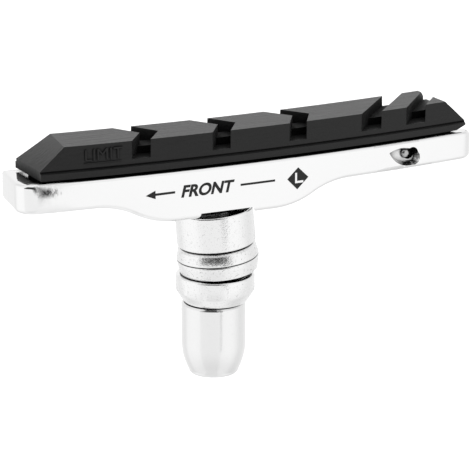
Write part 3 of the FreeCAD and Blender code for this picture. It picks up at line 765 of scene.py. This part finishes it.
def tone_ramp(angle, stops):
    """Brightness along stops of (degrees, brightness), for an angle in radians."""
    low, high = stops[0][0], stops[-1][0]
    share = map_range(studio, angle, math.radians(low), math.radians(high), 0.0, 1.0)
    ramp = studio.nodes.new("ShaderNodeValToRGB")
    ramp.color_ramp.interpolation = "B_SPLINE"
    elements = ramp.color_ramp.elements
    while len(elements) < len(stops):
        elements.new(0.5)
    for element, (degrees, tone) in zip(elements, stops):
        element.position = (degrees - low) / (high - low)
        element.color = grey(tone)
    studio.links.new(share, ramp.inputs["Fac"])
    return ramp.outputs["Color"]


around = tone_ramp(across_angle, PAPER_ACROSS)
upward = tone_ramp(up_angle, PAPER_UP)
paper = math_node(studio, "MULTIPLY", around, upward)
print("paper:", len(PAPER_ACROSS), "stops across and", len(PAPER_UP), "up")

# %% [markdown]
# A card is a soft edged rectangle of darkness. A mirror turns its view by twice its own tilt, so
# the wide and the tall card in front of the shoe show only in faces that are tilted upwards, such
# as the upper dome washer's shoulder. The side card shows in the holder's worn corner, and the
# small edge card draws the short streak below it.

# %% Dark cards
def between(angle, low, high, blur):
    """1 where an angle in radians lies between two in degrees, with soft ends."""
    low_start, low_end = math.radians(low - blur), math.radians(low + blur)
    high_start, high_end = math.radians(high - blur), math.radians(high + blur)
    start = map_range(studio, angle, low_start, low_end, 0.0, 1.0, smooth=True)
    end = map_range(studio, angle, high_start, high_end, 1.0, 0.0, smooth=True)
    return math_node(studio, "MULTIPLY", start, end)


def card(span_across, span_up, dark, blur):
    """Darkness of a card that spans two pairs of angles in degrees."""
    within_sides = between(across_angle, *span_across, blur)
    within_height = between(up_angle, *span_up, blur)
    shape = math_node(studio, "MULTIPLY", within_sides, within_height)
    return math_node(studio, "MULTIPLY", shape, dark)


wide_card = card((-47, 22), (-4, 24), dark=0.95, blur=3)
tall_card = card((-40, 20), (10, 60), dark=0.95, blur=3)
side_card = card((25.5, 33.4), (-15, 75), dark=0.97, blur=0.9)
edge_card = card((26.6, 28.6), (-24, -10), dark=0.55, blur=0.8)
cards = wide_card
for more in (tall_card, side_card, edge_card):
    cards = math_node(studio, "MAXIMUM", cards, more)
not_hidden = math_node(studio, "SUBTRACT", 1.0, cards)
reflected = math_node(studio, "MULTIPLY", paper, not_hidden)
print("cards: wide, tall, side and edge")

# %% [markdown]
# Light Path tells what kind of ray asks. The camera, and anything seen through glass, get plain
# white, reflections get the studio, and everything else gets the dimmer light.

# %% What each ray sees
WORLD_LIGHT = 0.50

path = add_node(studio, "ShaderNodeLightPath")
through = path.outputs["Is Transmission Ray"]
seen = math_node(studio, "MAXIMUM", path.outputs["Is Camera Ray"], through)
level = map_range(studio, seen, 0.0, 1.0, WORLD_LIGHT, 1.0)
in_metal = add_node(studio, "ShaderNodeMix")
studio.links.new(path.outputs["Is Glossy Ray"], in_metal.inputs["Factor"])
studio.links.new(level, in_metal.inputs["A"])
studio.links.new(reflected, in_metal.inputs["B"])
studio.links.new(in_metal.outputs["Result"], background.inputs["Strength"])
print("world as a light:", WORLD_LIGHT)

# %% [markdown]
# ## Floor
#
# A wide pale floor lies well below the nut, since the shoe is held by its stud and doesn't stand
# on it. A slight glow for the camera lifts it to white. Reflections leave it out, so that the
# metal shows the studio's paper from below too.

# %% Lay the floor
FLOOR_DROP = 45 * MM
FLOOR_REACH = 6.0
FLOOR_GLOW = 0.20

nut_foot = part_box("barrel_nut")[0][2]
floor_level = nut_foot - FLOOR_DROP
floor_material, tree, shader = new_finish("pale_floor", 0.90, 0.0, 0.9, specular=0.0)
shader.inputs["Emission Color"].default_value = grey(1)
path = add_node(tree, "ShaderNodeLightPath")
lift = math_node(tree, "MAXIMUM", path.outputs["Is Camera Ray"], path.outputs["Is Glossy Ray"])
glow = math_node(tree, "MULTIPLY", lift, FLOOR_GLOW)
tree.links.new(glow, shader.inputs["Emission Strength"])
signs = ((-1, -1), (1, -1), (1, 1), (-1, 1))
corners = [(x * FLOOR_REACH, y * FLOOR_REACH, floor_level) for x, y in signs]
floor_mesh = bpy.data.meshes.new("floor")
floor_mesh.from_pydata(corners, [], [(0, 1, 2, 3)])
floor_mesh.materials.append(floor_material)
floor = new_object("floor", floor_mesh)
floor.visible_glossy = False
print(f"floor at {floor_level / MM:.1f} mm")

# %% [markdown]
# ## Lamp
#
# One broad round lamp hangs above the shoe, towards its rear end and its far side, and gives the
# soft light of a cloudy sky. It is far brighter than white paper, so it is left out of
# reflections, where it would burn a ragged line into the edge of the holder's rim.

# %% Hang the lamp
LAMP_WIDTH = 0.9
LAMP_WATTS = 9.0
LAMP_PLACE = Vector((0.42, 0.30, 0.90))

lamp_data = bpy.data.lights.new("overhead_softbox", "AREA")
lamp_data.shape = "DISK"
lamp_data.size = LAMP_WIDTH
lamp_data.energy = LAMP_WATTS
lamp = new_object("overhead_softbox", lamp_data)
lamp.location = LAMP_PLACE
lamp.rotation_euler = (-LAMP_PLACE).to_track_quat("-Z", "Y").to_euler()
lamp.visible_glossy = False
print(f"lamp of {LAMP_WATTS} W at {tuple(round(c, 2) for c in LAMP_PLACE)} m")
